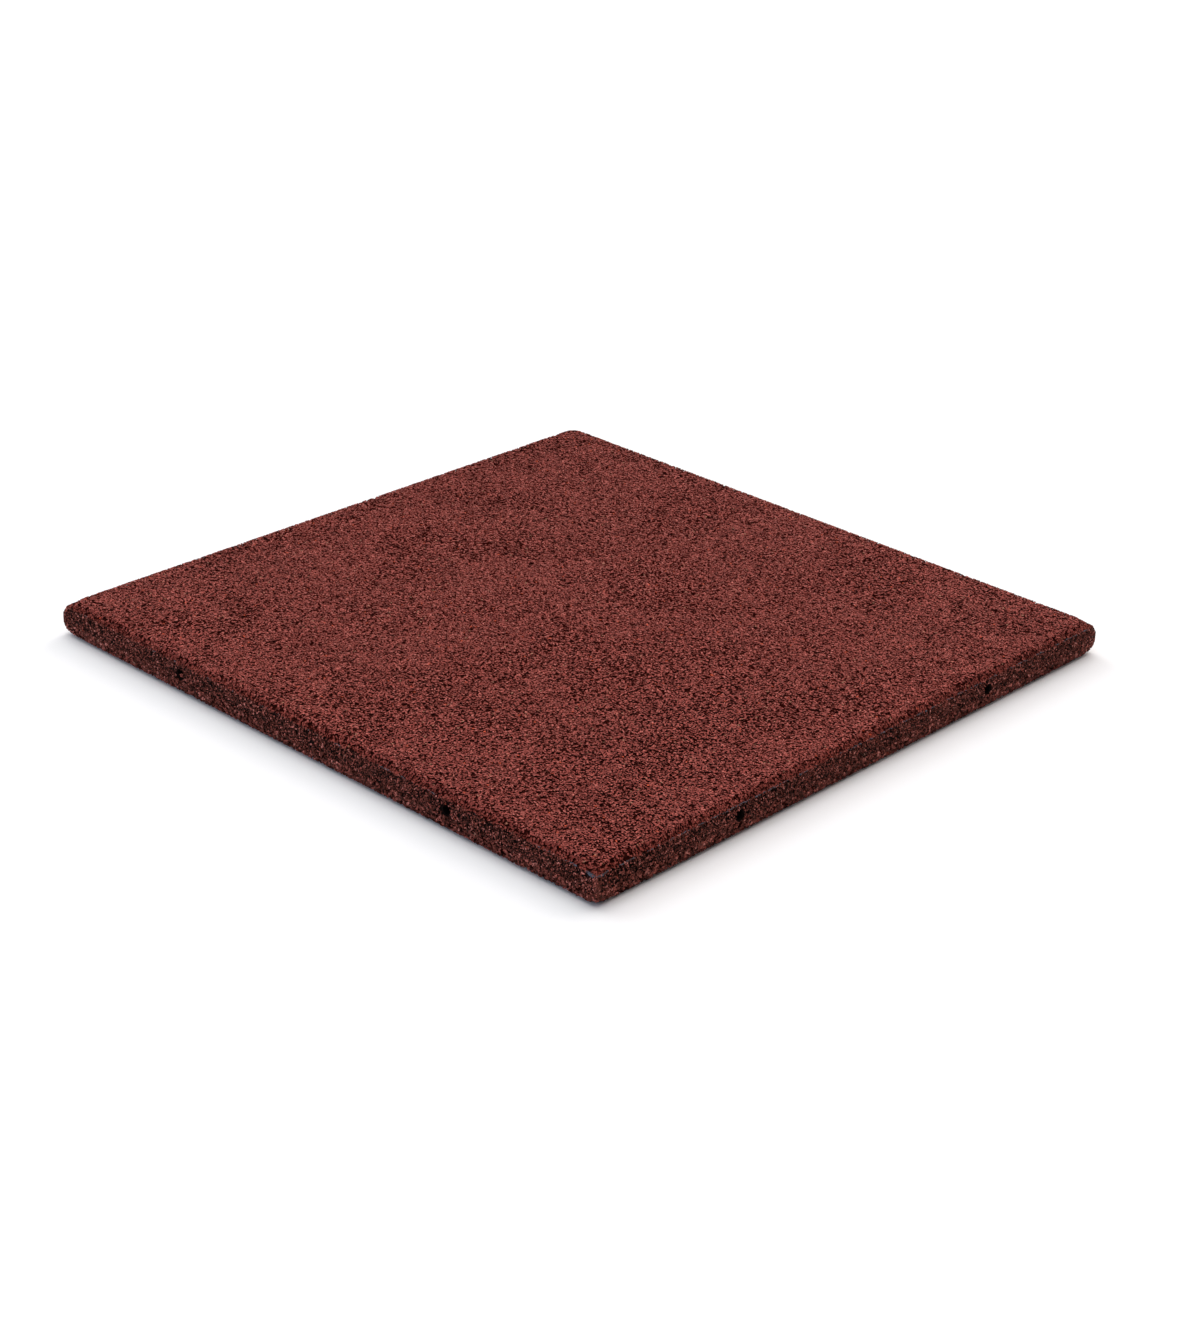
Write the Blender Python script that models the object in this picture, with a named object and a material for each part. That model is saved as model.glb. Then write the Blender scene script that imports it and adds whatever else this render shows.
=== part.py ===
"""Crumb-rubber floor tile, moulded in one piece, with blind dowel sockets in its four sides.

The tile lies flat, +Z up, with the origin at the centre of its underside. All sizes are in metres.
Run it with: blender --background --python part.py
"""

from math import cos, pi, sin

import bmesh
import bpy
from mathutils import Matrix, Vector

# The tile as it is sold
SIDE = 0.500
THICKNESS = 0.025

# The flat band that meets the next tile, all round the edge where the tile is widest
BAND_TOP = 0.016
BAND_BOTTOM = 0.009
BAND_RADIUS = 0.0006

# The lower edge of the chamfer, where the mould's lid leaves its line of flash
FLASH_HEIGHT = 0.0208
FLASH_INSET = 0.0015
FLASH_RADIUS = 0.0015

# The rim of the flat walking surface, inside the chamfer
RIM_INSET = 0.006
RIM_RADIUS = 0.010

# The loose crumbs of the foot, which round off the edge down to the underside
FOOT_INSET = 0.0065
FOOT_RADIUS = 0.010
FOOT_STEPS = 4

# Steps in each rounded corner of the plan
CORNER_STEPS = 6

# Blind sockets for the dowels that join one tile to the next, two in each side
SOCKET_DIAMETER = 0.007
SOCKET_DEPTH = 0.040
SOCKET_HEIGHT = 0.014
SOCKET_FROM_CORNER = SIDE / 4
SOCKET_SIDES = 16
SOCKET_OVERSHOOT = 0.005

# Crumb rubber pigmented brick red, as a linear colour
BRICK_RED = (0.165, 0.040, 0.034, 1.0)
RUBBER_ROUGHNESS = 0.85


def clear_scene():
    for obj in list(bpy.data.objects):
        bpy.data.objects.remove(obj)


def rubber_material():
    """Matt moulded rubber, the same right through."""
    material = bpy.data.materials.new("crumb_rubber")
    material.use_nodes = True
    shader = material.node_tree.nodes["Principled BSDF"]
    shader.inputs["Base Color"].default_value = BRICK_RED
    shader.inputs["Roughness"].default_value = RUBBER_ROUGHNESS
    shader.inputs["Metallic"].default_value = 0.0
    return material


def edge_section():
    """The edge's section from the walking surface to the underside, as (inset, height, corner radius)."""
    section = [
        (RIM_INSET, THICKNESS, RIM_RADIUS),
        (FLASH_INSET, FLASH_HEIGHT, FLASH_RADIUS),
        (0.0, BAND_TOP, BAND_RADIUS),
        (0.0, BAND_BOTTOM, BAND_RADIUS),
    ]
    for step in range(1, FOOT_STEPS + 1):
        angle = step / FOOT_STEPS * pi / 2
        down = sin(angle)
        radius = BAND_RADIUS + (FOOT_RADIUS - BAND_RADIUS) * down
        section.append((FOOT_INSET * (1 - cos(angle)), BAND_BOTTOM * (1 - down), radius))
    return section


def rounded_square(inset, height, radius):
    """The plan outline at one height, counter-clockwise from above."""
    centre = SIDE / 2 - inset - radius
    points = []
    for corner in range(4):
        turn = corner * pi / 2
        middle = Matrix.Rotation(turn, 3, "Z") @ Vector((centre, centre, height))
        for step in range(CORNER_STEPS + 1):
            angle = turn + step / CORNER_STEPS * pi / 2
            points.append(middle + radius * Vector((cos(angle), sin(angle), 0.0)))
    return points


def tile_mesh():
    """The slab without its sockets: one ring of points for each corner of the edge's section."""
    shape = bmesh.new()
    rings = []
    for inset, height, radius in edge_section():
        rings.append([shape.verts.new(point) for point in rounded_square(inset, height, radius)])
    count = len(rings[0])
    for upper, lower in zip(rings, rings[1:]):
        for i in range(count):
            j = (i + 1) % count
            shape.faces.new((upper[i], lower[i], lower[j], upper[j]))
    shape.faces.new(rings[0])
    shape.faces.new(reversed(rings[-1]))
    mesh = bpy.data.meshes.new("rubber_tile")
    shape.to_mesh(mesh)
    shape.free()
    return mesh


def socket_places():
    """Each socket's centre line: where it crosses the tile's edge, and the way it points out."""
    along = SIDE / 2 - SOCKET_FROM_CORNER
    for edge in range(4):
        turn = Matrix.Rotation(edge * pi / 2, 3, "Z")
        for side in (-1, 1):
            mouth = turn @ Vector((SIDE / 2, side * along, SOCKET_HEIGHT))
            yield mouth, turn @ Vector((1.0, 0.0, 0.0))


def socket_cutters():
    """One round cutter for each socket, joined in a mesh that cuts them all at once."""
    shape = bmesh.new()
    length = SOCKET_DEPTH + SOCKET_OVERSHOOT
    for mouth, outward in socket_places():
        middle = mouth + outward * (SOCKET_OVERSHOOT - SOCKET_DEPTH) / 2
        aim = outward.to_track_quat("Z", "Y").to_matrix().to_4x4()
        bmesh.ops.create_cone(
            shape,
            cap_ends=True,
            segments=SOCKET_SIDES,
            radius1=SOCKET_DIAMETER / 2,
            radius2=SOCKET_DIAMETER / 2,
            depth=length,
            matrix=Matrix.Translation(middle) @ aim,
        )
    mesh = bpy.data.meshes.new("dowel_socket_cutters")
    shape.to_mesh(mesh)
    shape.free()
    cutter = bpy.data.objects.new("dowel_socket_cutters", mesh)
    bpy.context.scene.collection.objects.link(cutter)
    cutter.hide_render = True
    cutter.display_type = "WIRE"
    return cutter


def rubber_tile():
    """The whole tile: the slab with its dowel sockets cut by a Boolean."""
    tile = bpy.data.objects.new("rubber_tile", tile_mesh())
    bpy.context.scene.collection.objects.link(tile)
    tile.data.materials.append(rubber_material())
    sockets = tile.modifiers.new("dowel_sockets", "BOOLEAN")
    sockets.operation = "DIFFERENCE"
    sockets.solver = "EXACT"
    sockets.object = socket_cutters()
    return tile


def main():
    clear_scene()
    rubber_tile()


main()
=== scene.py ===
"""Moulded crumb-rubber floor tile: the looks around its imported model.

The tile is dressed as it is made. Rubber crumbs are strewn over a solid core, pressed flat under the mould,
left rough on the sides, and pushed aside by the pins that form the dowel sockets.
"""

from math import cos, pi, radians, sin, tau

import bmesh
import bpy
import numpy as np
from mathutils import Matrix, Vector
from mathutils.bvhtree import BVHTree


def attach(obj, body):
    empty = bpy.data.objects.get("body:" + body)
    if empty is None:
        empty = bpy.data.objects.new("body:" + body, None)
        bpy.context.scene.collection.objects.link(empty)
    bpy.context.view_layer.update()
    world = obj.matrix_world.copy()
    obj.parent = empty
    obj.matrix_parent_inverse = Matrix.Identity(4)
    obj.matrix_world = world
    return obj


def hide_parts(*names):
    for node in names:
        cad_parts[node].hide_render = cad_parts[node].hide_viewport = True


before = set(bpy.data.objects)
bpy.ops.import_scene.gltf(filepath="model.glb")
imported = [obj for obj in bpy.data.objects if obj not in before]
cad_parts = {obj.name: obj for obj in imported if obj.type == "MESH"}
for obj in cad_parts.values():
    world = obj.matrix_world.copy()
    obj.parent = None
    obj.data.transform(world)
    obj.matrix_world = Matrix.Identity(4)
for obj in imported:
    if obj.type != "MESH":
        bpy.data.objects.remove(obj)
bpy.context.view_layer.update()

MM = 0.001

# The tile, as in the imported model. Each ring of its edge is given as how far in from the side it lies, how high,
# and the radius of its corners, in mm
SIDE = 500 * MM
THICKNESS = 25 * MM
SHOULDER = [(6.0, 25.0, 10.0), (1.5, 20.8, 1.5)]
BAND_RADIUS = 0.6
FOOT_TOP = 9.0
FOOT_INSET = 6.5
FOOT_RADIUS = 10.0
FOOT_STEPS = 6
BAND = [(0.0, 16.0, BAND_RADIUS), (0.0, FOOT_TOP, BAND_RADIUS)]
CORNER_STEPS = 6
CORNER_REACH = 2.5
SMALLEST_RADIUS = 0.3

# The dowel sockets and the pins that form them, with the nick torn out below one mouth
SOCKET_RADIUS = 3.5 * MM
SOCKET_DEPTH = 40 * MM
SOCKET_HEIGHT = 14 * MM
SOCKET_ALONG = 125 * MM
SOCKET_FACETS = 24
PIN_OVERSHOOT = 2 * MM
BORE_SLACK = 0.1 * MM
BORE_REACH = 60 * MM
NICK_PLACE = Vector((0.0, 0.4, -5.4)) * MM
NICK_RADIUS = 0.9 * MM

# Core that shows dark between the crumbs: how far under the mould's surface it lies, in mm, and where it ends below
CORE_DEPTH = 1.4
CORE_BOTTOM = 1 * MM

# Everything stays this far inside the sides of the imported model
HAIR = 0.01 * MM
EDGE = SIDE / 2 - HAIR

# The rim of the walking surface, and how far to either side of it the crumbs break out
RIM_REACH = 0.8 * MM
RIM_PLACE = SIDE / 2 - SHOULDER[0][0] * MM + RIM_REACH

# No crumb lies nearer than this to a socket's mouth
MOUTH_GAP = 0.5 * MM

# Pressing: how much of what sticks out is counted, and how far below the foot's top its crumbs stand out in full
MOST_COUNTED = 1 * MM
PROUD_RISE = 4 * MM

# Where a face of the mould counts as looking up, and where as the underside, by the height of its normal
LOOKS_UP = 0.1
LOOKS_DOWN = -0.99

# At the corners the side's crumbs are strewn a second time, from this far out in both directions
CORNER_START = 200 * MM

# Points tried on each spacing's length, before those that lie too near to another are dropped
TRIES_PER_SPACING = 1.9

# Patches about 60 mm across that are pressed less well: the scale of their noise, and the levels they rise between
PATCH_SCALE = 16.0
PATCH_LOW = 0.4
PATCH_HIGH = 0.62

# Grain inside a crumb: tear marks 0.3 mm across, and pinholes 1 mm across
TEAR_SCALE = 3000.0
PINHOLE_SCALE = 720.0

# The chamfer's deeper red, partly the binder it holds and partly painted shade of the sloping face, begins and is full
# this far below the walking surface
CHAMFER_START = 1.1 * MM
CHAMFER_FULL = 2.6 * MM

# Flash on the front corner, in mm: how far it laps over the joint, and how deep its outer face and its root lie
FLASH_LAP = 0.3
FLASH_SKIN = 0.05
FLASH_ROOT = 0.9

# Pores: how deep a point lies where the pressed skin ends and where the colour is deepest, and the tint there, which is
# partly the bare dark rubber and partly painted shade down in the pores
PORE_START = 0.25 * MM
PORE_END = 0.8 * MM
PORE_DARK_RUBBER_AND_SHADE = (0.12, 0.055, 0.04, 1.0)

# The photograph's camera: focal length in pixels of the 1320 pixel tall picture, then angles and places
FOCAL_PIXELS = 2766.04
PICTURE_HEIGHT = 1320
SENSOR = 36.0
CAMERA_YAW = 0.744240
CAMERA_PITCH = 0.449870
CAMERA_ROLL = 0.036575
CAMERA_DISTANCE = 1.897819
CAMERA_ASIDE = 0.005243
CAMERA_ABOVE = -0.011364

# The stage: how far the floor reaches, in metres, how wide each diffuser looks from the tile, and the room's light
FLOOR_REACH = 30.0
DIFFUSER_SPREAD = radians(60)
ROOM_LIGHT = 0.08


def linear(code):
    """A colour given as sRGB hex, in the linear light that shaders use."""
    values = [int(code[i : i + 2], 16) / 255 for i in (0, 2, 4)]
    return tuple(v / 12.92 if v <= 0.04045 else ((v + 0.055) / 1.055) ** 2.4 for v in values) + (1.0,)


def add(tree, kind, feeds=None, **settings):
    """Adds a node. feeds maps its inputs, by name or number, to a value or to another node's socket."""
    node = tree.nodes.new(kind)
    for name, value in settings.items():
        setattr(node, name, value)
    for key, value in (feeds or {}).items():
        if isinstance(value, bpy.types.NodeSocket):
            tree.links.new(value, node.inputs[key])
        else:
            node.inputs[key].default_value = value
    return node


def set_stops(ramp, *stops):
    """Gives a colour ramp its stops, each a place and a colour in sRGB hex. It already has the first two."""
    elements = ramp.color_ramp.elements
    for number, (place, code) in enumerate(stops):
        stop = elements[number] if number < 2 else elements.new(place)
        stop.position, stop.color = place, linear(code)


def show(name, mesh, *finishes):
    """Puts a mesh in the scene under its name, with its finishes."""
    for finish in finishes:
        mesh.materials.append(finish)
    piece = bpy.data.objects.new(name, mesh)
    bpy.context.scene.collection.objects.link(piece)
    return piece


def as_mesh(shape, name):
    """Closes mesh work and hands it over as a mesh."""
    mesh = bpy.data.meshes.new(name)
    shape.to_mesh(mesh)
    shape.free()
    return mesh


def facing(middle, outward):
    """The placing of a disc or a pin whose axis runs outward through a point."""
    return Matrix.Translation(middle) @ outward.to_track_quat("Z", "Y").to_matrix().to_4x4()


def ring(inset, height, radius, grow=0.0):
    """The tile's outline at one height, with points halfway along each side and close to each corner, in mm."""
    half = SIDE / 2 / MM - inset + grow
    radius = max(radius + grow, SMALLEST_RADIUS)
    points = []
    for corner in range(4):
        turn = Matrix.Rotation(corner * pi / 2, 3, "Z")
        near = half - radius - CORNER_REACH
        points.append(turn @ Vector((half, 0.0, height)) * MM)
        points.append(turn @ Vector((half, near, height)) * MM)
        middle = Vector((half - radius, half - radius, height))
        for step in range(CORNER_STEPS + 1):
            angle = step / CORNER_STEPS * pi / 2
            points.append(turn @ (middle + radius * Vector((cos(angle), sin(angle), 0.0))) * MM)
        points.append(turn @ Vector((near, half, height)) * MM)
    return points


def foot_section():
    """Rings of the quarter-round that draws the foot in."""
    section = []
    for step in range(1, FOOT_STEPS + 1):
        angle = step / FOOT_STEPS * pi / 2
        radius = BAND_RADIUS + (FOOT_RADIUS - BAND_RADIUS) * sin(angle)
        section.append((FOOT_INSET * (1 - cos(angle)), FOOT_TOP * (1 - sin(angle)), radius))
    return section


def edge_section():
    """Rings of the whole edge, from the walking surface to the underside."""
    return SHOULDER + BAND + foot_section()


def slab(section, name, grow=0.0, quarters=True):
    """A closed slab on rings of the edge's section. Its top is cut in quarters, so that each can be laid alone."""
    shape = bmesh.new()
    rings = [[shape.verts.new(p) for p in ring(i, h, r, grow)] for i, h, r in section]
    count = len(rings[0])
    for upper, lower in zip(rings, rings[1:]):
        for i in range(count):
            j = (i + 1) % count
            shape.faces.new((upper[i], lower[i], lower[j], upper[j]))
    top = rings[0]
    if quarters:
        centre = shape.verts.new((0.0, 0.0, top[0].co.z))
        span = count // 4
        for quarter in range(4):
            arc = [top[(quarter * span + k) % count] for k in range(span + 1)]
            shape.faces.new([centre] + arc)
    else:
        shape.faces.new(top)
    shape.faces.new(reversed(rings[-1]))
    return as_mesh(shape, name)


def bed(mould, wanted):
    """The part of the mould's surface that one lot of crumbs is strewn on."""
    shape = bmesh.new()
    shape.from_mesh(mould)
    drop = [f for f in shape.faces if not wanted(f.calc_center_median(), f.normal)]
    bmesh.ops.delete(shape, geom=drop, context="FACES")
    return as_mesh(shape, "bed")


def chip_blank():
    """A shredded chip with its broad face up: four uneven sides, narrowing to a point below."""
    shape = bmesh.new()
    places = ((0, 1.0), (75, 0.85), (170, 1.05), (265, 0.9))
    rim = [shape.verts.new((reach * cos(radians(a)), reach * sin(radians(a)), 0.0)) for a, reach in places]
    tip = shape.verts.new((0.0, 0.0, -1.0))
    shape.faces.new(rim)
    for k in range(4):
        shape.faces.new((rim[k], tip, rim[(k + 1) % 4]))
    return as_mesh(shape, "chip_blank")


def crumb_blank():
    """A whole crumb: five-sided, with a peak above and below."""
    shape = bmesh.new()
    rim = [shape.verts.new((cos(k * tau / 5), sin(k * tau / 5), 0.0)) for k in range(5)]
    peak = shape.verts.new((0.0, 0.0, 1.0))
    tip = shape.verts.new((0.0, 0.0, -1.0))
    for k in range(5):
        shape.faces.new((rim[k], rim[(k + 1) % 5], peak))
        shape.faces.new((rim[k], tip, rim[(k + 1) % 5]))
    return as_mesh(shape, "crumb_blank")


def socket_places():
    """Where each socket's centre line crosses the tile's edge, and the way it points out."""
    for edge in range(4):
        turn = Matrix.Rotation(edge * pi / 2, 3, "Z")
        for side in (-1, 1):
            yield turn @ Vector((SIDE / 2, side * SOCKET_ALONG, SOCKET_HEIGHT)), turn @ Vector((1.0, 0.0, 0.0))


def socket_mouths():
    """Discs over the sockets' mouths, where no crumb is laid, and the nick torn out below one of them."""
    shape = bmesh.new()
    discs = [(mouth, outward, SOCKET_RADIUS) for mouth, outward in socket_places()]
    mouth, outward = next(socket_places())
    discs.append((mouth + NICK_PLACE, outward, NICK_RADIUS))
    for middle, outward, radius in discs:
        bmesh.ops.create_circle(
            shape, cap_ends=True, segments=SOCKET_FACETS, radius=radius, matrix=facing(middle, outward)
        )
    return as_mesh(shape, "socket_mouths")


def new_tree(name, source, inputs, result):
    """A Geometry Nodes tree with the geometry it starts from, its named inputs and what it gives."""
    tree = bpy.data.node_groups.new(name, "GeometryNodeTree")
    tree.interface.new_socket(source, in_out="INPUT", socket_type="NodeSocketGeometry")
    for label, kind in inputs.items():
        tree.interface.new_socket(label, in_out="INPUT", socket_type="NodeSocket" + kind)
    tree.interface.new_socket(result, in_out="OUTPUT", socket_type="NodeSocketGeometry")
    return tree, add(tree, "NodeGroupInput").outputs


def draws(tree, seed):
    """The function that a tree draws its random values with, each between two limits and on a seed of its own."""

    def chance(low, high, step, vector=False):
        own = add(tree, "ShaderNodeMath", {0: seed, 1: float(step)}, operation="ADD").outputs[0]
        if vector:
            node = add(tree, "FunctionNodeRandomValue", {0: low, 1: high, "Seed": own}, data_type="FLOAT_VECTOR")
            return node.outputs[0]
        node = add(tree, "FunctionNodeRandomValue", {2: low, 3: high, "Seed": own}, data_type="FLOAT")
        return node.outputs[1]

    return chance


def lay_blanks(tree, given, spots, rotation, turn, size):
    """Lays the blank on each spot, turned from the spot's own rotation and stretched."""
    local = add(tree, "FunctionNodeEulerToRotation", {0: turn})
    aim = add(
        tree,
        "FunctionNodeRotateRotation",
        {"Rotation": rotation, "Rotate By": local.outputs[0]},
        rotation_space="LOCAL",
    )
    blank = add(tree, "GeometryNodeObjectInfo", {"Object": given["Blank"]})
    return add(
        tree,
        "GeometryNodeInstanceOnPoints",
        {"Points": spots, "Instance": blank.outputs["Geometry"], "Rotation": aim.outputs[0], "Scale": size},
    ).outputs[0]


def strewing_tree():
    """Geometry Nodes that strew blanks over a bed, each turned, stretched and roughened in its own way."""
    tree, given = new_tree(
        "strew_crumbs",
        "Bed",
        {
            "Blank": "Object",
            "Spacing": "Float",
            "Smallest": "Vector",
            "Largest": "Vector",
            "Tilt": "Float",
            "Sink": "Float",
            "Sink spread": "Float",
            "Ragged": "Float",
            "Pits": "Float",
            "Pit depth": "Float",
            "Missing": "Float",
            "Rim": "Float",
            "Rim missing": "Float",
            "Mouths": "Object",
            "Seed": "Int",
            "Finish": "Material",
        },
        "Crumbs",
    )
    chance = draws(tree, given["Seed"])

    tries = add(tree, "ShaderNodeMath", {0: TRIES_PER_SPACING, 1: given["Spacing"]}, operation="DIVIDE").outputs[0]
    density = add(tree, "ShaderNodeMath", {0: tries, 1: tries}, operation="MULTIPLY").outputs[0]
    points = add(
        tree,
        "GeometryNodeDistributePointsOnFaces",
        {
            "Mesh": given["Bed"],
            "Distance Min": given["Spacing"],
            "Density Max": density,
            "Seed": given["Seed"],
        },
        distribute_method="POISSON",
    )

    # Pits about 2 mm across, with more of them and more lost crumbs in the patches that are pressed less well
    patch = add(tree, "ShaderNodeTexNoise", {"Scale": PATCH_SCALE, "Detail": 2.0, "Roughness": 0.6})
    pits = add(tree, "ShaderNodeTexNoise", {"Scale": 480.0, "Detail": 1.0, "Roughness": 0.6})
    loose = add(
        tree,
        "ShaderNodeMapRange",
        {
            "Value": patch.outputs[0],
            "From Min": PATCH_LOW,
            "From Max": PATCH_HIGH,
            "To Min": -0.03,
            "To Max": 0.045,
        },
    ).outputs[0]
    open_share = add(
        tree,
        "ShaderNodeMapRange",
        {
            "Value": patch.outputs[0],
            "From Min": PATCH_LOW,
            "From Max": PATCH_HIGH,
            "To Min": 0.5,
            "To Max": 1.6,
        },
    ).outputs[0]
    open_share = add(tree, "ShaderNodeMath", {0: open_share, 1: given["Missing"]}, operation="MULTIPLY").outputs[0]
    level = add(tree, "ShaderNodeMath", {0: given["Pits"], 1: loose}, operation="ADD").outputs[0]
    hollow = add(tree, "ShaderNodeMath", {0: pits.outputs[0], 1: level}, operation="LESS_THAN").outputs[0]

    # More crumbs have broken out along the rim of the walking surface than elsewhere
    spot = add(tree, "GeometryNodeInputPosition")
    spot = add(tree, "ShaderNodeVectorMath", {0: spot.outputs[0]}, operation="ABSOLUTE")
    spot = add(tree, "ShaderNodeSeparateXYZ", {0: spot.outputs[0]})
    far = add(tree, "ShaderNodeMath", {0: spot.outputs[0], 1: spot.outputs[1]}, operation="MAXIMUM").outputs[0]
    at_rim = add(tree, "ShaderNodeMath", {0: far, 1: given["Rim"], 2: RIM_REACH}, operation="COMPARE").outputs[0]
    share = add(
        tree,
        "ShaderNodeMath",
        {0: at_rim, 1: given["Rim missing"], 2: open_share},
        operation="MULTIPLY_ADD",
    ).outputs[0]
    lost = add(tree, "ShaderNodeMath", {0: chance(0.0, 1.0, 12), 1: share}, operation="LESS_THAN").outputs[0]

    # The pins keep crumbs out of the sockets' mouths
    mouths = add(tree, "GeometryNodeObjectInfo", {"Object": given["Mouths"]})
    near = add(tree, "GeometryNodeProximity", {0: mouths.outputs["Geometry"]}, target_element="FACES")
    bored = add(tree, "ShaderNodeMath", {0: near.outputs["Distance"], 1: MOUTH_GAP}, operation="LESS_THAN").outputs[0]
    lost = add(tree, "ShaderNodeMath", {0: lost, 1: bored}, operation="MAXIMUM").outputs[0]
    laid = add(tree, "GeometryNodeDeleteGeometry", {"Geometry": points.outputs["Points"], "Selection": lost})

    # Most crumbs lie near the mould, a few far below it, and those in a pit lower still
    dip = add(tree, "ShaderNodeMath", {0: chance(0.0, 1.0, 11), 1: 4.0}, operation="POWER").outputs[0]
    dip = add(tree, "ShaderNodeMath", {0: dip, 1: given["Sink spread"], 2: given["Sink"]}, operation="MULTIPLY_ADD")
    dip = add(tree, "ShaderNodeMath", {0: hollow, 1: given["Pit depth"], 2: dip.outputs[0]}, operation="MULTIPLY_ADD")
    down = add(tree, "ShaderNodeVectorMath", {0: points.outputs["Normal"], "Scale": dip.outputs[0]}, operation="SCALE")
    away = add(tree, "ShaderNodeVectorMath", {0: down.outputs[0], "Scale": -1.0}, operation="SCALE")
    sunk = add(tree, "GeometryNodeSetPosition", {"Geometry": laid.outputs[0], "Offset": away.outputs[0]})

    lean = add(tree, "ShaderNodeMath", {0: given["Tilt"], 1: -1.0}, operation="MULTIPLY").outputs[0]
    turn = add(
        tree,
        "ShaderNodeCombineXYZ",
        {"X": chance(lean, given["Tilt"], 21), "Y": chance(lean, given["Tilt"], 22), "Z": chance(0.0, tau, 23)},
    )
    size = chance(given["Smallest"], given["Largest"], 31, vector=True)
    tagged = lay_blanks(tree, given, sunk.outputs[0], points.outputs["Rotation"], turn.outputs[0], size)
    for step, name in enumerate(("crumb_tone", "crumb_kind", "crumb_lid")):
        tagged = add(
            tree,
            "GeometryNodeStoreNamedAttribute",
            {"Geometry": tagged, "Name": name, "Value": chance(0.0, 1.0, 41 + step)},
            data_type="FLOAT",
            domain="INSTANCE",
        ).outputs[0]
    whole = add(tree, "GeometryNodeRealizeInstances", {"Geometry": tagged})
    span = add(tree, "ShaderNodeMath", {0: given["Ragged"], 1: -1.0}, operation="MULTIPLY").outputs[0]
    torn = add(
        tree,
        "GeometryNodeSetPosition",
        {"Geometry": whole.outputs[0], "Offset": chance(span, given["Ragged"], 51, vector=True)},
    )
    finish = add(tree, "GeometryNodeSetMaterial", {"Geometry": torn.outputs[0], "Material": given["Finish"]})
    add(tree, "NodeGroupOutput", {"Crumbs": finish.outputs[0]})
    return tree


def grown(name, source, tree, values):
    """Runs a tree on a mesh with its named inputs set, and keeps the result as a plain mesh."""
    holder = show(name, source)
    modifier = holder.modifiers.new("grow", "NODES")
    modifier.node_group = tree
    for item in tree.interface.items_tree:
        if item.item_type == "SOCKET" and item.in_out == "INPUT" and item.name in values:
            modifier[item.identifier] = values[item.name]
    bpy.context.view_layer.update()
    graph = bpy.context.evaluated_depsgraph_get()
    mesh = bpy.data.meshes.new_from_object(holder.evaluated_get(graph), preserve_all_data_layers=True, depsgraph=graph)
    mesh.name = name
    holder.modifiers.remove(modifier)
    holder.data = mesh
    return holder


def press(piece, mould_tree, lid_spread, give, proud=0.0):
    """Presses the crumbs back under the mould and keeps how deep each point lies, for the finish.

    lid_spread is how far below the mould a crumb may be held, give is how much of a point that sticks out is
    left, and proud is how far the loose crumbs of the foot may stand out.
    """
    mesh = piece.data
    count = len(mesh.vertices)
    places = np.empty(count * 3)
    mesh.vertices.foreach_get("co", places)
    places = places.reshape(-1, 3)
    lids = np.empty(count, dtype=np.float32)
    mesh.attributes["crumb_lid"].data.foreach_get("value", lids)
    depth = np.empty(count, dtype=np.float32)
    for i in range(count):
        place = Vector(places[i])
        spot, normal, _, _ = mould_tree.find_nearest(place)
        over = (place - spot).dot(normal)
        lid = -float(lids[i]) * lid_spread
        if proud:
            lid += proud * min(max((FOOT_TOP * MM - spot.z) / PROUD_RISE, 0.0), 1.0)
        if over > lid:
            over = lid + min(over - lid, MOST_COUNTED) * give
            over = min(over, max(lid, -HAIR))
            places[i] = spot + normal * over
        depth[i] = -over
    clear_sockets(places)
    places[:, :2] = places[:, :2].clip(-EDGE, EDGE)
    places[:, 2] = places[:, 2].clip(0.0, THICKNESS)
    mesh.vertices.foreach_set("co", places.ravel())
    layer = mesh.attributes.new("crumb_depth", "FLOAT", "POINT")
    layer.data.foreach_set("value", depth)
    mesh.update()


def clear_sockets(places):
    """Pushes crumbs aside from the pins that form the sockets."""
    for mouth, outward in socket_places():
        rel = places - np.array(mouth)
        along = rel @ np.array(outward)
        across = rel - along[:, None] * np.array(outward)
        far = np.linalg.norm(across, axis=1)
        inside = (far < SOCKET_RADIUS) & (along > -SOCKET_DEPTH)
        push = (SOCKET_RADIUS / np.maximum(far, 1e-6))[:, None]
        places[inside] += (across * (push - 1))[inside]


def new_finish(name):
    """A material with an empty node tree."""
    material = bpy.data.materials.new(name)
    material.use_nodes = True
    material.node_tree.nodes.clear()
    return material, material.node_tree


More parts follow.
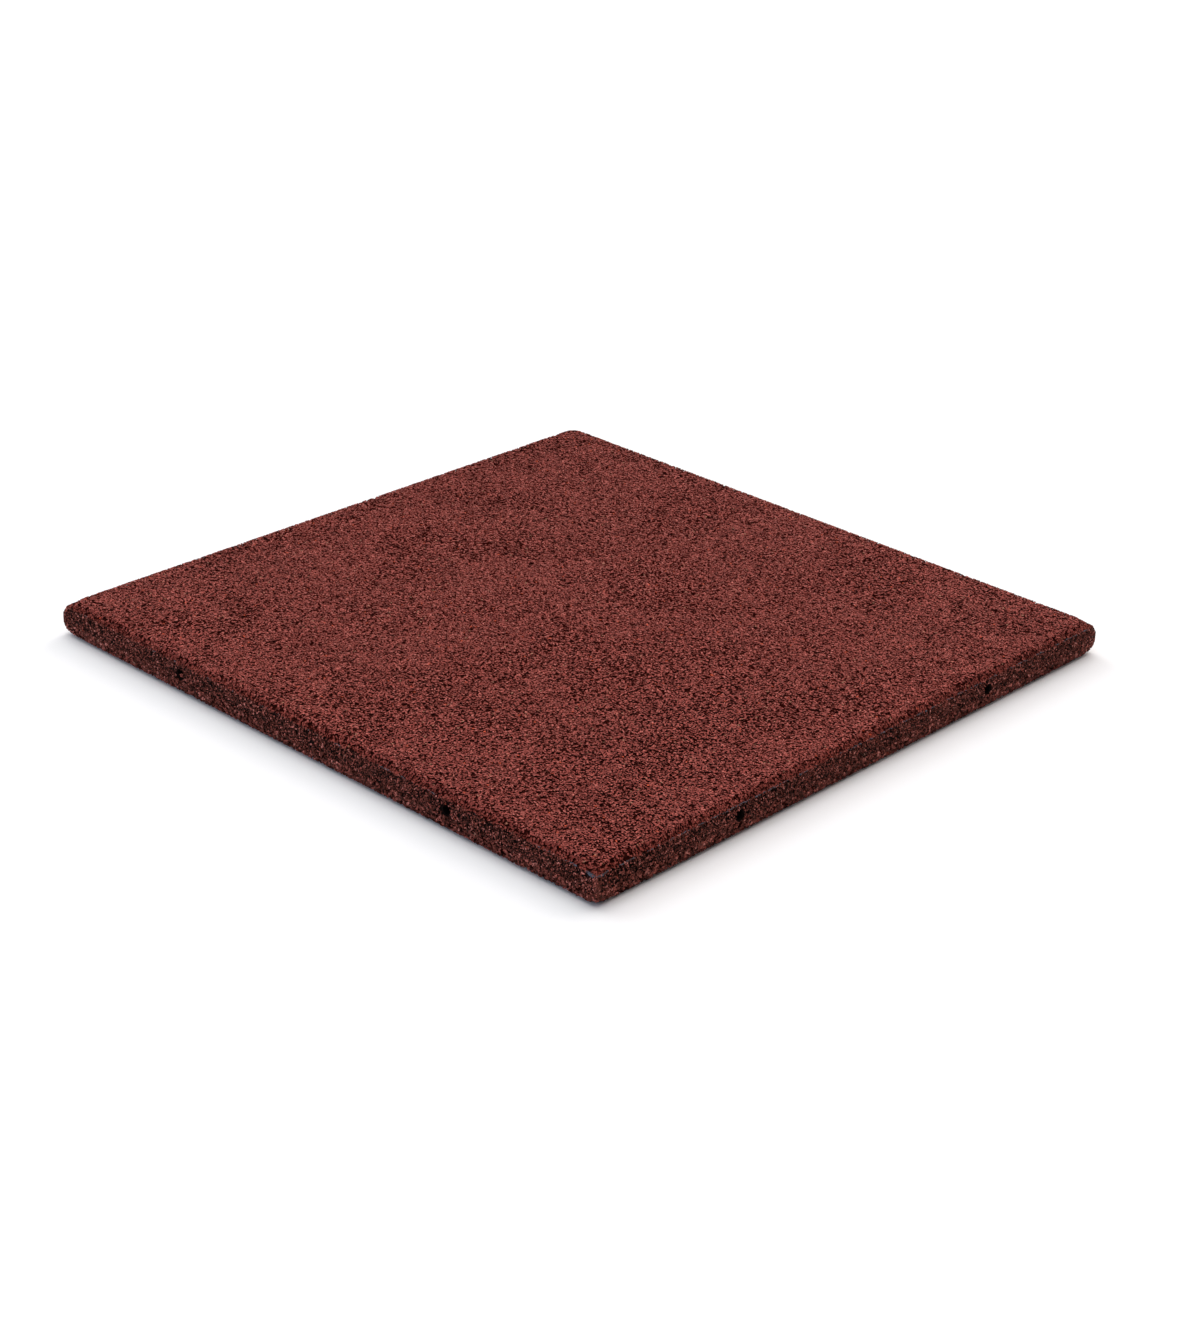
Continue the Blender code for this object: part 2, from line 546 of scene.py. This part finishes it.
def crumb_finish(name, tones, odd, odd_share, facets, contrast, torn, holes_share, gloss, chamfer):
    """Black tyre crumb coated in brick-red polyurethane binder, then pressed: matt, with a paler skin where it
    met the mould and a deep brown red down in the pores, partly the bare rubber there and partly painted shade.

    tones run from the darkest crumbs to the palest, and odd holds the colours of the few strays, odd_share of all.
    facets is how many torn facets go to a metre, contrast how much their tone differs, and torn how much the tear
    marks do. holes_share is the share of pinholes, gloss how much the binder shines, and chamfer the tint that the
    sloping shoulder takes: partly the binder it holds, partly painted shade of the slope.
    """
    material, tree = new_finish(name)
    spot = add(tree, "ShaderNodeTexCoord").outputs["Object"]
    tone = add(tree, "ShaderNodeAttribute", attribute_name="crumb_tone").outputs["Fac"]
    kind = add(tree, "ShaderNodeAttribute", attribute_name="crumb_kind").outputs["Fac"]
    depth = add(tree, "ShaderNodeAttribute", attribute_name="crumb_depth").outputs["Fac"]

    ramp = add(tree, "ShaderNodeValToRGB", {0: tone})
    set_stops(ramp, (0.0, tones[0]), (1.0, tones[4]), (0.25, tones[1]), (0.6, tones[2]), (0.88, tones[3]))

    # A few crumbs of another colour: orange red, tan, lilac grey and rust
    strays = add(tree, "ShaderNodeValToRGB", {0: kind})
    strays.color_ramp.interpolation = "CONSTANT"
    set_stops(strays, *((odd_share * part, code) for part, code in zip((0.0, 0.3, 0.45, 0.65), odd)))
    is_odd = add(tree, "ShaderNodeMath", {0: kind, 1: odd_share}, operation="LESS_THAN").outputs[0]
    colour = add(
        tree,
        "ShaderNodeMix",
        {0: is_odd, 6: ramp.outputs["Color"], 7: strays.outputs["Color"]},
        data_type="RGBA",
    ).outputs[2]

    # Torn facets of the crumb, 0.6 to 0.8 mm across, and tear marks of 0.3 mm on them
    grain = add(tree, "ShaderNodeTexVoronoi", {"Vector": spot, "Scale": facets, "Randomness": 1.0})
    own = add(tree, "ShaderNodeSeparateColor", {0: grain.outputs["Color"]})
    grain_shade = add(
        tree,
        "ShaderNodeMapRange",
        {"Value": own.outputs[0], "From Min": 0.0, "From Max": 1.0, "To Min": 1 - contrast, "To Max": 1 + contrast},
    ).outputs[0]
    tear = add(tree, "ShaderNodeTexNoise", {"Vector": spot, "Scale": TEAR_SCALE, "Detail": 2.0, "Roughness": 0.6})
    tear_shade = add(
        tree,
        "ShaderNodeMapRange",
        {"Value": tear.outputs[0], "From Min": 0.3, "From Max": 0.7, "To Min": 1 - torn, "To Max": 1 + torn},
    ).outputs[0]

    # The whole tile drifts a little in tone over 70 mm or so, as the binder was mixed
    drift = add(tree, "ShaderNodeTexNoise", {"Vector": spot, "Scale": 14.0, "Detail": 3.0, "Roughness": 0.6})
    drift_shade = add(
        tree,
        "ShaderNodeMapRange",
        {"Value": drift.outputs[0], "From Min": 0.3, "From Max": 0.7, "To Min": 0.93, "To Max": 1.07},
    ).outputs[0]
    shade = add(tree, "ShaderNodeMath", {0: grain_shade, 1: drift_shade}, operation="MULTIPLY").outputs[0]
    shade = add(tree, "ShaderNodeMath", {0: shade, 1: tear_shade}, operation="MULTIPLY").outputs[0]
    colour = add(tree, "ShaderNodeVectorMath", {0: colour, "Scale": shade}, operation="SCALE").outputs[0]

    # Pinholes about 1 mm across, painted as dark spots of shade with a small dent in the bump, more of them in the
    # patches that were pressed less well
    patch = add(tree, "ShaderNodeTexNoise", {"Vector": spot, "Scale": PATCH_SCALE, "Detail": 2.0, "Roughness": 0.6})
    badly = add(
        tree,
        "ShaderNodeMapRange",
        {
            "Value": patch.outputs[0],
            "From Min": PATCH_LOW,
            "From Max": PATCH_HIGH,
            "To Min": 0.75 * holes_share,
            "To Max": 1.35 * holes_share,
        },
    ).outputs[0]
    holes = add(tree, "ShaderNodeTexVoronoi", {"Vector": spot, "Scale": PINHOLE_SCALE, "Randomness": 1.0})
    which = add(tree, "ShaderNodeSeparateColor", {0: holes.outputs["Color"]}).outputs[0]
    there = add(tree, "ShaderNodeMath", {0: which, 1: badly}, operation="LESS_THAN").outputs[0]
    reach = add(
        tree,
        "ShaderNodeMath",
        {0: tear.outputs[0], 1: 0.5, 2: holes.outputs["Distance"]},
        operation="MULTIPLY_ADD",
    ).outputs[0]
    disc = add(
        tree,
        "ShaderNodeMapRange",
        {"Value": reach, "From Min": 0.58, "From Max": 0.72, "To Min": 1.0, "To Max": 0.0},
    ).outputs[0]
    hole = add(tree, "ShaderNodeMath", {0: there, 1: disc}, operation="MULTIPLY").outputs[0]
    # Deeper points and the pinholes take the pore tint: partly the bare dark rubber, partly painted shade in the pores
    # and holes
    sunk = add(tree, "ShaderNodeMapRange", {"Value": depth, "From Min": PORE_START, "From Max": PORE_END}).outputs[0]
    sunk = add(tree, "ShaderNodeMath", {0: sunk, 1: hole}, operation="MAXIMUM").outputs[0]
    colour = add(
        tree,
        "ShaderNodeMix",
        {0: sunk, 6: colour, 7: PORE_DARK_RUBBER_AND_SHADE},
        data_type="RGBA",
        blend_type="MULTIPLY",
    ).outputs[2]

    # The chamfer was pressed less, so it holds more binder: a deeper red than the flat it falls from. It also carries
    # painted shade of the sloping face, which gets less of the overhead light
    height = add(tree, "ShaderNodeSeparateXYZ", {0: spot}).outputs[2]
    chamfer_binder_and_shade = add(
        tree,
        "ShaderNodeMapRange",
        {"Value": height, "From Min": THICKNESS - CHAMFER_START, "From Max": THICKNESS - CHAMFER_FULL},
    ).outputs[0]
    colour = add(
        tree,
        "ShaderNodeMix",
        {0: chamfer_binder_and_shade, 6: colour, 7: chamfer},
        data_type="RGBA",
        blend_type="MULTIPLY",
    ).outputs[2]

    # The binder shines a little on the open facets, and not at all down in the pores
    rough = add(
        tree,
        "ShaderNodeMapRange",
        {"Value": own.outputs[1], "From Min": 0.0, "From Max": 1.0, "To Min": 0.55, "To Max": 0.9},
    ).outputs[0]
    shine = add(tree, "ShaderNodeMapRange", {"Value": sunk, "To Min": gloss, "To Max": 0.0}).outputs[0]
    relief = add(tree, "ShaderNodeMath", {0: own.outputs[2], 1: 0.6, 2: tear.outputs[0]}, operation="MULTIPLY_ADD")
    relief = add(tree, "ShaderNodeMath", {0: hole, 1: -1.5, 2: relief.outputs[0]}, operation="MULTIPLY_ADD")
    bump = add(tree, "ShaderNodeBump", {"Strength": 0.6, "Distance": 0.3 * MM, "Height": relief.outputs[0]})
    shader = add(
        tree,
        "ShaderNodeBsdfPrincipled",
        {"Base Color": colour, "Roughness": rough, "Normal": bump.outputs[0], "IOR": 1.5, "Specular IOR Level": shine},
    )
    add(tree, "ShaderNodeOutputMaterial", {"Surface": shader.outputs[0]})
    return material


def flash_finish():
    """The skin of binder that squeezed out at the mould's joint: thin and smooth, coloured blue grey as a painted glint
    of the cool light from the left.
    """
    material, tree = new_finish("mould_flash_painted_blue_glint")
    spot = add(tree, "ShaderNodeTexCoord").outputs["Object"]
    cloud = add(tree, "ShaderNodeTexNoise", {"Vector": spot, "Scale": 600.0, "Detail": 2.0})
    ramp = add(tree, "ShaderNodeValToRGB", {0: cloud.outputs[0]})
    # Blue grey: a painted glint of the cool light on the flash
    set_stops(ramp, (0.38, "2b2226"), (0.62, "4c4e5b"))
    shader = add(
        tree,
        "ShaderNodeBsdfPrincipled",
        {"Base Color": ramp.outputs[0], "Roughness": 0.55, "IOR": 1.5, "Specular IOR Level": 0.3},
    )
    add(tree, "ShaderNodeOutputMaterial", {"Surface": shader.outputs[0]})
    return material


def core_finish():
    """The core between the crumbs: the same crumb with little binder on it, nearly black, and darker towards the edges
    of its grain, where its bump sinks. The darkness is partly the bare rubber and partly painted shade of the gaps it
    shows through.
    """
    material, tree = new_finish("dark_crumb_core_with_painted_gap_shade")
    spot = add(tree, "ShaderNodeTexCoord").outputs["Object"]
    grain = add(tree, "ShaderNodeTexVoronoi", {"Vector": spot, "Scale": 500.0, "Randomness": 1.0})
    ramp = add(tree, "ShaderNodeValToRGB", {0: grain.outputs["Distance"]})
    set_stops(ramp, (0.1, "4f1d17"), (0.7, "2c0d0a"))
    bump = add(
        tree,
        "ShaderNodeBump",
        {"Strength": 0.8, "Distance": 0.6 * MM, "Height": grain.outputs["Distance"]},
        invert=True,
    )
    shader = add(
        tree,
        "ShaderNodeBsdfPrincipled",
        {"Base Color": ramp.outputs[0], "Roughness": 0.92, "Normal": bump.outputs[0], "Specular IOR Level": 0.02},
    )
    add(tree, "ShaderNodeOutputMaterial", {"Surface": shader.outputs[0]})
    return material


def bore_finish():
    """Inside the sockets: smooth rubber close to black, darker than the core."""
    material, tree = new_finish("near_black_socket_bore")
    spot = add(tree, "ShaderNodeTexCoord").outputs["Object"]
    smear = add(tree, "ShaderNodeTexNoise", {"Vector": spot, "Scale": 700.0, "Detail": 3.0})
    ramp = add(tree, "ShaderNodeValToRGB", {0: smear.outputs[0]})
    set_stops(ramp, (0.35, "0c0807"), (0.65, "1f100e"))
    shader = add(
        tree,
        "ShaderNodeBsdfPrincipled",
        {"Base Color": ramp.outputs[0], "Roughness": 0.8, "IOR": 1.5, "Specular IOR Level": 0.05},
    )
    add(tree, "ShaderNodeOutputMaterial", {"Surface": shader.outputs[0]})
    return material


def floor_finish():
    """Matt white card under the tile: it takes the soft shade and throws light back up at the foot."""
    material, tree = new_finish("matt_white_card")
    shader = add(
        tree,
        "ShaderNodeBsdfPrincipled",
        {"Base Color": (0.9, 0.9, 0.9, 1.0), "Roughness": 0.95, "Specular IOR Level": 0.0},
    )
    add(tree, "ShaderNodeOutputMaterial", {"Surface": shader.outputs[0]})
    return material


def core(finish, bored):
    """The tile's core, with the dowel sockets bored in it."""
    mesh = slab(edge_section(), "tile_core", grow=-CORE_DEPTH, quarters=False)
    for vertex in mesh.vertices:
        vertex.co.z = min(max(vertex.co.z, CORE_BOTTOM), THICKNESS - CORE_DEPTH * MM)
    piece = show("tile_core", mesh)
    shape = bmesh.new()
    for mouth, outward in socket_places():
        middle = mouth - outward * (SOCKET_DEPTH - PIN_OVERSHOOT) / 2
        bmesh.ops.create_cone(
            shape,
            cap_ends=True,
            segments=SOCKET_FACETS,
            radius1=SOCKET_RADIUS,
            radius2=SOCKET_RADIUS,
            depth=SOCKET_DEPTH + PIN_OVERSHOOT,
            matrix=facing(middle, outward),
        )
    pins = show("socket_pins", as_mesh(shape, "socket_pins"))
    cut = piece.modifiers.new("sockets", "BOOLEAN")
    cut.operation = "DIFFERENCE"
    cut.solver = "EXACT"
    cut.object = pins
    bpy.context.view_layer.update()
    graph = bpy.context.evaluated_depsgraph_get()
    mesh = bpy.data.meshes.new_from_object(piece.evaluated_get(graph), depsgraph=graph)
    piece.modifiers.remove(cut)
    piece.data = mesh
    mesh.materials.clear()
    mesh.materials.append(finish)
    mesh.materials.append(bored)
    for face in mesh.polygons:
        for mouth, outward in socket_places():
            rel = face.center - mouth
            off_axis = (rel - rel.dot(outward) * outward).length
            if off_axis < SOCKET_RADIUS + BORE_SLACK and rel.length < BORE_REACH:
                face.material_index = 1
    bpy.data.objects.remove(pins)
    return piece


def flash_tree():
    """Geometry Nodes that lay torn scraps of flash along a line, thick where the mould leaked and none elsewhere."""
    tree, given = new_tree(
        "lay_flash",
        "Line",
        {
            "Blank": "Object",
            "Spacing": "Float",
            "Smallest": "Vector",
            "Largest": "Vector",
            "Leak": "Float",
            "Leak size": "Float",
            "Torn off": "Float",
            "Wander": "Float",
            "Seed": "Int",
            "Finish": "Material",
        },
        "Flash",
    )
    chance = draws(tree, given["Seed"])

    path = add(tree, "GeometryNodeMeshToCurve", {"Mesh": given["Line"]})
    points = add(
        tree,
        "GeometryNodeCurveToPoints",
        {"Curve": path.outputs[0], "Length": given["Spacing"]},
        mode="LENGTH",
    )
    shift = add(tree, "ShaderNodeCombineXYZ", {"Z": given["Seed"]})
    spot = add(tree, "GeometryNodeInputPosition")
    spot = add(tree, "ShaderNodeVectorMath", {0: spot.outputs[0], 1: shift.outputs[0]}, operation="ADD")
    leak = add(tree, "ShaderNodeTexNoise", {"Vector": spot.outputs[0], "Scale": given["Leak size"], "Detail": 2.0})
    dry = add(tree, "ShaderNodeMath", {0: leak.outputs[0], 1: given["Leak"]}, operation="GREATER_THAN").outputs[0]
    gone = add(tree, "ShaderNodeMath", {0: chance(0.0, 1.0, 8), 1: given["Torn off"]}, operation="LESS_THAN").outputs[0]
    gone = add(tree, "ShaderNodeMath", {0: gone, 1: dry}, operation="MAXIMUM").outputs[0]
    kept = add(tree, "GeometryNodeDeleteGeometry", {"Geometry": points.outputs["Points"], "Selection": gone})
    back = add(tree, "ShaderNodeMath", {0: given["Wander"], 1: -1.0}, operation="MULTIPLY").outputs[0]
    moved = add(
        tree,
        "GeometryNodeSetPosition",
        {"Geometry": kept.outputs[0], "Offset": chance(back, given["Wander"], 3, vector=True)},
    )
    twist = add(
        tree,
        "ShaderNodeCombineXYZ",
        {"X": chance(-0.25, 0.25, 5), "Y": chance(-0.25, 0.25, 6), "Z": chance(0.0, tau, 7)},
    )
    size = chance(given["Smallest"], given["Largest"], 4, vector=True)
    laid = lay_blanks(tree, given, moved.outputs[0], points.outputs["Rotation"], twist.outputs[0], size)
    whole = add(tree, "GeometryNodeRealizeInstances", {"Geometry": laid})
    finish = add(tree, "GeometryNodeSetMaterial", {"Geometry": whole.outputs[0], "Material": given["Finish"]})
    add(tree, "NodeGroupOutput", {"Flash": finish.outputs[0]})
    return tree


def flash_line(corners):
    """A line through the given corners of the chamfer's lower edge, where the mould's lid meets its frame."""
    inset, height, _ = SHOULDER[1]
    half = SIDE / 2 - inset * MM
    mesh = bpy.data.meshes.new("flash_line")
    places = [(x * half, y * half, height * MM) for x, y in corners]
    mesh.from_pydata(places, [(i, i + 1) for i in range(len(places) - 1)], [])
    return mesh


def corner_flash(finish, mould_tree):
    """The larger scrap of flash that hangs round the front corner under the joint.

    left and right hold how far along its side each row of points lies from the corner, and how far it hangs, in mm.
    """
    inset, height, _ = SHOULDER[1]
    half = SIDE / 2 - inset * MM
    left = [(9.5, 0.6), (7.5, 1.4), (5.0, 2.3), (2.5, 2.6), (0.8, 2.2)]
    right = [(0.8, 1.6), (2.6, 1.3), (4.4, 1.5), (6.0, 0.7)]
    spots = [(Vector((half - a * MM, -half, 0.0)), drop) for a, drop in left]
    spots += [(Vector((half, a * MM - half, 0.0)), drop) for a, drop in right]
    shape = bmesh.new()
    rows = []
    for place, drop in spots:
        row = []
        for z in (height + FLASH_LAP, height - drop / 2, height - drop):
            on, normal, _, _ = mould_tree.find_nearest(place + Vector((0.0, 0.0, z * MM)))
            row.append([shape.verts.new(on - normal * depth * MM) for depth in (FLASH_SKIN, FLASH_ROOT)])
        rows.append(row)
    for one, two in zip(rows, rows[1:]):
        for k in range(2):
            shape.faces.new((one[k][0], one[k + 1][0], two[k + 1][0], two[k][0]))
            shape.faces.new((one[k][1], two[k][1], two[k + 1][1], one[k + 1][1]))
        shape.faces.new((one[0][0], two[0][0], two[0][1], one[0][1]))
        shape.faces.new((one[2][0], one[2][1], two[2][1], two[2][0]))
    for row, turned in ((rows[0], False), (rows[-1], True)):
        for k in range(2):
            face = [row[k][0], row[k][1], row[k + 1][1], row[k + 1][0]]
            shape.faces.new(reversed(face) if turned else face)
    bmesh.ops.recalc_face_normals(shape, faces=shape.faces)
    return show("corner_flash", as_mesh(shape, "corner_flash"), finish)


def underside(finish):
    """The flat underside, a thin plate of the same crumb under the core."""
    section = [(FOOT_INSET + 1.0, 1.2, FOOT_RADIUS), (FOOT_INSET + 0.4, 0.0, FOOT_RADIUS)]
    return show("underside", slab(section, "underside", quarters=False), finish)


def stuck_crumb(finish):
    """The one crumb left in the mouth of a socket on the left."""
    mesh = crumb_blank()
    middle = Vector((-SOCKET_ALONG + 0.3 * MM, -SIDE / 2 + 1.6 * MM, SOCKET_HEIGHT - 1.0 * MM))
    size = Vector((1.9, 1.4, 1.7)) * MM
    turn = Matrix.Rotation(radians(35), 4, "Y")
    mesh.transform(Matrix.Translation(middle) @ Matrix.Diagonal(size).to_4x4() @ turn)
    # The blank's last corner is its lower tip, which stands on the bore's floor, further in
    mesh.vertices[-1].co = (middle.x, middle.y + 2.4 * MM, SOCKET_HEIGHT - SOCKET_RADIUS - 0.1 * MM)
    for name, value in (("crumb_tone", 0.85), ("crumb_kind", 1.0), ("crumb_depth", 0.0)):
        layer = mesh.attributes.new(name, "FLOAT", "POINT")
        layer.data.foreach_set("value", [value] * len(mesh.vertices))
    return show("stuck_crumb", mesh, finish)


def main_pieces():
    """Every piece of the tile, each riding on its one body and standing for its one CAD node."""
    skin = crumb_finish(
        "red_bound_tyre_crumb",
        tones=("73312b", "833b33", "91443c", "9f4f46", "b16258"),
        odd=("b4482e", "986450", "a06c6e", "ae6454"),
        odd_share=0.009,
        facets=1250.0,
        contrast=0.42,
        torn=0.3,
        holes_share=0.27,
        gloss=0.08,
        # The shoulder's tint: deeper red binder and painted shade of the slope
        chamfer=(0.75, 0.66, 0.61, 1.0),
    )
    # The sides take darker tones than the top: partly the less coated crumb of the mould side, partly painted shade of
    # sides that face away from the overhead light
    rough = crumb_finish(
        "red_crumb_side_with_painted_shade",
        tones=("33160f", "56281f", "753c33", "954e44", "c2796f"),
        odd=("803626", "7e564a", "84605e", "8e4c44"),
        odd_share=0.009,
        facets=1700.0,
        contrast=0.6,
        torn=0.45,
        holes_share=0.32,
        gloss=0.1,
        chamfer=(1.0, 1.0, 1.0, 1.0),
    )
    mould = slab(edge_section(), "mould")
    corners = [vertex.co.copy() for vertex in mould.vertices]
    mould_tree = BVHTree.FromPolygons(corners, [tuple(face.vertices) for face in mould.polygons])
    tree = strewing_tree()
    chip = show("chip_blank", chip_blank())
    crumb = show("crumb_blank", crumb_blank())
    mouths = show("socket_mouths", socket_mouths())
    pieces = [core(core_finish(), bore_finish()), underside(rough)]

    def strew(name, wanted, values, **pressing):
        """Strews one lot of crumbs over the faces of the mould that are wanted, and presses them."""
        piece = grown(name, bed(mould, wanted), tree, values | {"Mouths": mouths})
        press(piece, mould_tree, **pressing)
        pieces.append(piece)

    # The top in quarters, which keeps each piece's mesh small
    flash_height = SHOULDER[1][1] * MM
    quarters = (("east", 1, 1), ("north", -1, 1), ("west", -1, -1), ("south", 1, -1))
    for step, (name, sx, sy) in enumerate(quarters):
        values = {
            "Blank": chip,
            "Spacing": 1.02 * MM,
            "Smallest": Vector((0.75, 0.62, 1.2)) * MM,
            "Largest": Vector((1.3, 1.02, 1.9)) * MM,
            "Tilt": radians(12),
            "Sink": 0.0,
            "Sink spread": 0.85 * MM,
            "Ragged": 0.2 * MM,
            "Pits": 0.36,
            "Pit depth": 1.0 * MM,
            "Missing": 0.085,
            "Rim": RIM_PLACE,
            "Rim missing": 0.12,
            "Seed": 100 + 10 * step,
            "Finish": skin,
        }
        strew(
            "top_crumbs_" + name,
            lambda spot, way: spot.x * sx > 0 and spot.y * sy > 0 and spot.z > flash_height and way.z > LOOKS_UP,
            values,
            lid_spread=0.2 * MM,
            give=0.1,
        )

    # Sides, foot and corners, where the crumbs were held back less
    loose = {
        "Blank": crumb,
        "Smallest": Vector((0.65, 0.55, 0.55)) * MM,
        "Largest": Vector((1.35, 1.05, 0.95)) * MM,
        "Tilt": radians(50),
        "Ragged": 0.25 * MM,
        "Finish": rough,
    }
    band = loose | {
        "Spacing": 0.98 * MM,
        "Smallest": Vector((0.5, 0.42, 0.5)) * MM,
        "Largest": Vector((1.15, 0.85, 0.9)) * MM,
        "Sink": 0.1 * MM,
        "Sink spread": 0.6 * MM,
        "Pits": 0.33,
        "Pit depth": 0.6 * MM,
        "Missing": 0.05,
        "Seed": 500,
    }
    strew(
        "band_crumbs",
        lambda spot, way: FOOT_TOP * MM < spot.z < flash_height,
        band,
        lid_spread=0.25 * MM,
        give=0.3,
    )
    foot = loose | {
        "Spacing": 1.2 * MM,
        "Largest": Vector((2.0, 1.5, 1.3)) * MM,
        "Sink": -0.3 * MM,
        "Sink spread": 1.4 * MM,
        "Pits": 0.36,
        "Pit depth": 0.7 * MM,
        "Missing": 0.06,
        "Seed": 600,
    }
    strew(
        "foot_crumbs",
        lambda spot, way: spot.z < FOOT_TOP * MM and way.z > LOOKS_DOWN,
        foot,
        lid_spread=0.3 * MM,
        give=0.5,
        proud=1.3 * MM,
    )
    corner = loose | {
        "Spacing": 0.9 * MM,
        "Sink": 0.1 * MM,
        "Sink spread": 0.4 * MM,
        "Seed": 700,
    }
    strew(
        "corner_crumbs",
        lambda spot, way: min(abs(spot.x), abs(spot.y)) > CORNER_START and spot.z < flash_height and way.z > LOOKS_DOWN,
        corner,
        lid_spread=0.15 * MM,
        give=0.3,
        proud=0.5 * MM,
    )
    pieces.append(stuck_crumb(rough))

    # Flash: a broken line of it on the right side, and less on the others
    flash = flash_finish()
    laying = flash_tree()
    scraps = {
        "Blank": crumb,
        "Spacing": 0.8 * MM,
        "Smallest": Vector((0.14, 0.12, 0.6)) * MM,
        "Largest": Vector((0.5, 0.34, 1.5)) * MM,
        "Torn off": 0.45,
        "Wander": 0.38 * MM,
        "Finish": flash,
    }
    runs = (
        ("mould_flash_east", [(1, -1), (1, 1)], 0.52, 100.0, 800),
        ("mould_flash_rest", [(1, 1), (-1, 1), (-1, -1), (1, -1)], 0.42, 120.0, 900),
    )
    for name, along, leak, leak_size, seed in runs:
        values = scraps | {"Leak": leak, "Leak size": leak_size, "Seed": seed}
        piece = grown(name, flash_line(along), laying, values)
        for vertex in piece.data.vertices:
            vertex.co.x = min(max(vertex.co.x, -EDGE), EDGE)
            vertex.co.y = min(max(vertex.co.y, -EDGE), EDGE)
        pieces.append(piece)
    pieces.append(corner_flash(flash, mould_tree))

    for blank in (chip, crumb, mouths):
        bpy.data.objects.remove(blank)
    for piece in pieces:
        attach(piece, "root")
        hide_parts("rubber_tile")


def stage():
    """A white card under the tile, with wide soft lights overhead and around it."""
    mesh = bpy.data.meshes.new("floor")
    far = FLOOR_REACH
    mesh.from_pydata([(-far, -far, 0), (far, -far, 0), (far, far, 0), (-far, far, 0)], [], [(0, 1, 2, 3)])
    show("floor", mesh, floor_finish())

    world = bpy.data.worlds.new("studio")
    world.use_nodes = True
    room = world.node_tree.nodes["Background"].inputs
    room["Color"].default_value = (1.0, 1.0, 1.0, 1.0)
    room["Strength"].default_value = ROOM_LIGHT
    bpy.context.scene.world = world

    def diffuser(name, azimuth, elevation, strength, tint):
        """A wide diffuser, far enough away to light all of the floor alike. Its two angles are in degrees."""
        lamp = bpy.data.lights.new(name, "SUN")
        lamp.energy = strength
        lamp.angle = DIFFUSER_SPREAD
        lamp.color = linear(tint)[:3]
        high, low = sin(radians(elevation)), cos(radians(elevation))
        toward = Vector((cos(radians(azimuth)) * low, sin(radians(azimuth)) * low, high))
        panel = bpy.data.objects.new(name, lamp)
        panel.rotation_euler = (-toward).to_track_quat("-Z", "Y").to_euler()
        bpy.context.scene.collection.objects.link(panel)

    diffuser("overhead_diffuser", 0, 90, 1.15, "fffcfa")
    diffuser("rear_left_diffuser", 135, 55, 1.3, "fffcfa")
    diffuser("left_diffuser", 180, 20, 1.95, "f2faff")
    diffuser("rear_diffuser", 90, 20, 2.0, "fff5f1")
    diffuser("front_left_diffuser", 260, 20, 0.95, "ccdaf8")
    bpy.context.scene.view_settings.view_transform = "Standard"


def camera():
    """The photograph's camera, found from the tile's outline."""
    back = Vector((sin(CAMERA_YAW) * cos(CAMERA_PITCH), -cos(CAMERA_YAW) * cos(CAMERA_PITCH), sin(CAMERA_PITCH)))
    right = (-back).cross(Vector((0, 0, 1))).normalized()
    up = right.cross(-back)
    c, s = cos(CAMERA_ROLL), sin(CAMERA_ROLL)
    right, up = right * c + up * s, up * c - right * s
    place = back * CAMERA_DISTANCE + right * CAMERA_ASIDE + up * CAMERA_ABOVE
    lens = bpy.data.cameras.new("camera")
    lens.lens = FOCAL_PIXELS / PICTURE_HEIGHT * SENSOR
    lens.sensor_width = SENSOR
    lens.clip_start = 0.05
    lens.clip_end = 40.0
    view = bpy.data.objects.new("camera", lens)
    turn = Matrix((right, up, back)).transposed().to_4x4()
    view.matrix_world = Matrix.Translation(place) @ turn
    bpy.context.scene.collection.objects.link(view)
    bpy.context.scene.camera = view


camera()
stage()
main_pieces()
